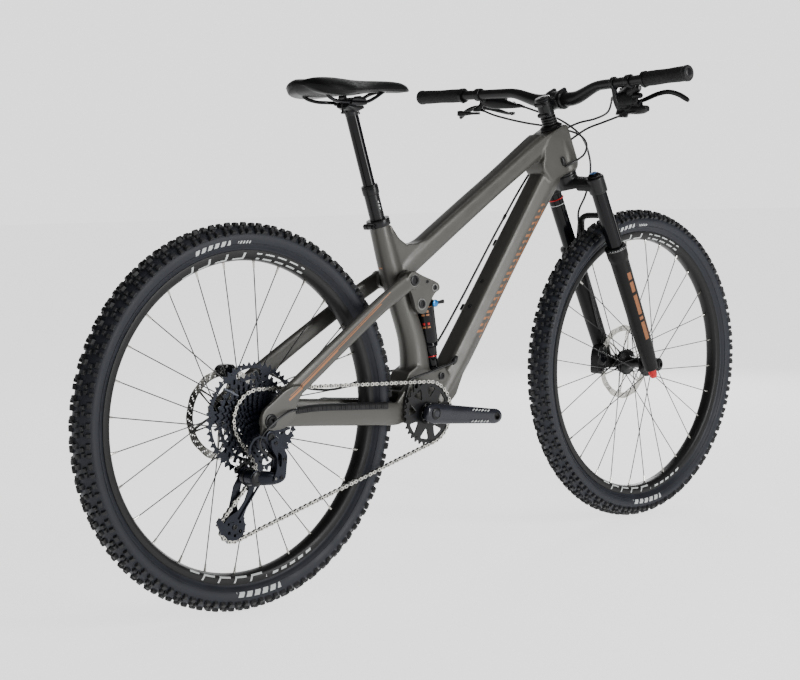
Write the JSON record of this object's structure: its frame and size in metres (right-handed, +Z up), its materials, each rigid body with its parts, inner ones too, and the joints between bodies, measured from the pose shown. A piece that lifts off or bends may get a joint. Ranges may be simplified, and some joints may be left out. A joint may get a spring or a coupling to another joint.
{
  "type": "mountain bike",
  "caption": "Full-suspension trail mountain bike with telescopic fork, rocker-driven rear shock, single-ring chain drive, disc brakes and height-adjustable saddle post.",
  "frame": {"origin": "midway between the wheels, on the plane the tyres stand on, in the bicycle's middle plane", "axes": "+X forwards, +Y to the rider's left, +Z up"},
  "size_m": [1.924, 0.8046, 1.0388],
  "materials": {
    "black_metal": "black anodised",
    "blue": "blue anodised",
    "carbon": "matt clear-coated carbon fibre, warm graphite grey",
    "gloss_black": "gloss black",
    "navy_metal": "blue-black coated",
    "plastic": "black extruded jacket",
    "red": "red anodised",
    "rubber": "black moulded rubber",
    "steel": "ground and nickel-plated steel"
  },
  "bodies": {
    "main_frame": {"front_triangle": "carbon", "seat_clamp": "black_metal", "dropper_outer": "black_metal", "bottom_bracket": "black_metal", "main_pivot_axle": "black_metal", "rocker_pivot_axle": "black_metal", "lower_shock_bolt": "black_metal", "rear_brake_hose": "plastic", "derailleur_housing_front": "plastic"},
    "steering": {"fork_crown_unit": "gloss_black", "stem": "black_metal", "handlebar": "black_metal", "grip_left": "black_metal", "grip_right": "black_metal", "brake_master_left": "black_metal", "brake_master_right": "black_metal", "shifter_pod": "plastic", "shifter_housing": "plastic", "dropper_housing": "plastic"},
    "lockout_dial": {"lockout_dial": "blue"},
    "brake_lever_left": {"brake_lever_left": "black_metal"},
    "brake_lever_right": {"brake_lever_right": "black_metal"},
    "shifter_lever": {"shifter_lever": "plastic"},
    "dropper_lever": {"dropper_lever": "black_metal"},
    "fork_lowers": {"fork_lowers": "black_metal", "front_axle": "black_metal", "front_brake_caliper": "black_metal", "front_brake_hose": "plastic"},
    "rebound_knob": {"rebound_knob": "red"},
    "front_wheel": {"front_tyre": "rubber", "front_rim": "black_metal", "front_hub": "black_metal", "front_rotor": "steel"},
    "swingarm": {"chainstays": "carbon", "rear_axle": "black_metal", "rear_brake_caliper": "black_metal", "derailleur_body": "navy_metal", "derailleur_housing_rear": "plastic", "chain_front": "steel", "chain_rear": "steel"},
    "seatstays": {"seatstay_right": "black_metal", "seatstay_left": "black_metal"},
    "rear_wheel": {"rear_tyre": "rubber", "rear_rim": "black_metal", "rear_hub": "black_metal", "rear_rotor": "steel"},
    "cassette": {"cassette": "navy_metal"},
    "crank": {"chainring": "black_metal", "crank_arm_right": "navy_metal", "crank_arm_left": "navy_metal"},
    "derailleur_cage": {"derailleur_cage": "navy_metal"},
    "guide_pulley": {"guide_pulley": "plastic"},
    "tension_pulley": {"tension_pulley": "plastic"},
    "rocker": {"rocker_link": "carbon"},
    "shock_shaft": {"shock_shaft": "gloss_black"},
    "shock_can": {"shock_can": "gloss_black"},
    "shock_lever": {"shock_lever": "black_metal"},
    "seat": {"dropper_stanchion": "gloss_black", "saddle": "rubber", "saddle_rails": "black_metal"}
  },
  "joints": [
    {"name": "steer", "type": "hinge", "parent": "main_frame", "child": "steering", "pos_m": [0.5508, 0, 0.3531], "axis": [-0.4067, 0, 0.9135], "range_deg": [-60, 60], "deforming": ["front_brake_hose", "rear_brake_hose", "shifter_housing", "dropper_housing"]},
    {"name": "lockout_turn", "type": "hinge", "parent": "steering", "child": "lockout_dial", "pos_m": [0.36694, -0.068, 0.80542], "axis": [-0.4067, 0, 0.9135], "range_deg": [0, 90]},
    {"name": "brake_lever_left_pull", "type": "hinge", "parent": "steering", "child": "brake_lever_left", "pos_m": [0.34475, 0.168, 0.98718], "axis": [0, 0, 1], "range_deg": [0, 18], "stiffness_Nm_per_rad": 2, "springref_deg": -14.32},
    {"name": "brake_lever_right_pull", "type": "hinge", "parent": "steering", "child": "brake_lever_right", "pos_m": [0.34475, -0.168, 0.98718], "axis": [0, 0, 1], "range_deg": [-18, 0], "stiffness_Nm_per_rad": 2, "springref_deg": 14.32},
    {"name": "shifter_lever_push", "type": "hinge", "parent": "steering", "child": "shifter_lever", "pos_m": [0.3294, -0.178, 0.95538], "axis": [0, 0, 1], "range_deg": [-30, 0], "stiffness_Nm_per_rad": 0.5, "springref_deg": 17.19},
    {"name": "dropper_lever_push", "type": "hinge", "parent": "steering", "child": "dropper_lever", "pos_m": [0.30706, 0.247, 0.98432], "axis": [0, 0, 1], "range_deg": [0, 25], "stiffness_Nm_per_rad": 0.5, "springref_deg": -17.19},
    {"name": "fork_travel", "type": "slide", "parent": "steering", "child": "fork_lowers", "axis": [-0.4067, 0, 0.9135], "range_m": [0, 0.12], "stiffness_N_per_m": 6000, "springref_m": -0.015, "deforming": ["front_brake_hose"]},
    {"name": "rebound_turn", "type": "hinge", "parent": "fork_lowers", "child": "rebound_knob", "pos_m": [0.5703, -0.068, 0.34865], "axis": [-0.4067, 0, 0.9135], "range_deg": [0, 180]},
    {"name": "front_wheel_spin", "type": "hinge", "parent": "fork_lowers", "child": "front_wheel", "pos_m": [0.591, 0, 0.371], "axis": [0, 1, 0], "continuous": true},
    {"name": "suspension", "type": "hinge", "parent": "main_frame", "child": "swingarm", "pos_m": [-0.178, 0, 0.393], "axis": [0, 1, 0], "range_deg": [0, 16.62], "stiffness_Nm_per_rad": 1365, "springref_deg": -1.72, "deforming": ["rear_brake_hose", "derailleur_housing_front", "chain_front", "chain_rear"]},
    {"name": "stay_flex", "type": "hinge", "parent": "swingarm", "child": "seatstays", "pos_m": [-0.572, 0, 0.392], "axis": [0, 1, 0], "range_deg": [-2.32, 0.01]},
    {"name": "rocker_turn", "type": "hinge", "parent": "main_frame", "child": "rocker", "pos_m": [-0.155, 0, 0.5603], "axis": [0, 1, 0], "range_deg": [-0.01, 54.57]},
    {"name": "shock_swing", "type": "hinge", "parent": "main_frame", "child": "shock_shaft", "pos_m": [-0.092, 0, 0.4046], "axis": [0, 1, 0], "range_deg": [-0.01, 3.14]},
    {"name": "shock_stroke", "type": "slide", "parent": "shock_shaft", "child": "shock_can", "axis": [-0.1333, 0, 0.9911], "range_m": [-0.0449, 0.0001]},
    {"name": "shock_lever_turn", "type": "hinge", "parent": "shock_can", "child": "shock_lever", "pos_m": [-0.1065, -0.02, 0.55902], "axis": [0, 1, 0], "range_deg": [0, 45]},
    {"name": "crank_spin", "type": "hinge", "parent": "main_frame", "child": "crank", "pos_m": [-0.1574, 0, 0.336], "axis": [0, 1, 0], "continuous": true},
    {"name": "cassette_spin", "type": "hinge", "parent": "swingarm", "child": "cassette", "pos_m": [-0.591, 0, 0.371], "axis": [0, 1, 0], "continuous": true},
    {"name": "guide_pulley_spin", "type": "hinge", "parent": "derailleur_cage", "child": "guide_pulley", "pos_m": [-0.624, 0, 0.278], "axis": [0, 1, 0], "continuous": true},
    {"name": "tension_pulley_spin", "type": "hinge", "parent": "derailleur_cage", "child": "tension_pulley", "pos_m": [-0.656, 0, 0.176], "axis": [0, 1, 0], "continuous": true},
    {"name": "rear_wheel_spin", "type": "hinge", "parent": "swingarm", "child": "rear_wheel", "pos_m": [-0.591, 0, 0.371], "axis": [0, 1, 0], "continuous": true},
    {"name": "cage_swing", "type": "hinge", "parent": "swingarm", "child": "derailleur_cage", "pos_m": [-0.628, 0, 0.268], "axis": [0, 1, 0], "range_deg": [-35, 0], "stiffness_Nm_per_rad": 1, "springref_deg": 57.3, "deforming": ["chain_rear"]},
    {"name": "seat_drop", "type": "slide", "parent": "main_frame", "child": "seat", "axis": [-0.2874, 0, 0.9578], "range_m": [-0.14, 0]}
  ],
  "couplings": [
    {"joint": "stay_flex", "follows": "suspension", "ratio": -0.1388},
    {"joint": "rocker_turn", "follows": "suspension", "ratio": 3.283},
    {"joint": "shock_swing", "follows": "suspension", "ratio": 0.1883},
    {"joint": "shock_stroke", "follows": "suspension", "m_per_rad": -0.1545},
    {"joint": "cassette_spin", "follows": "crank_spin", "ratio": 1.1429},
    {"joint": "guide_pulley_spin", "follows": "crank_spin", "ratio": -2.6667},
    {"joint": "tension_pulley_spin", "follows": "crank_spin", "ratio": 2.2857}
  ]
}
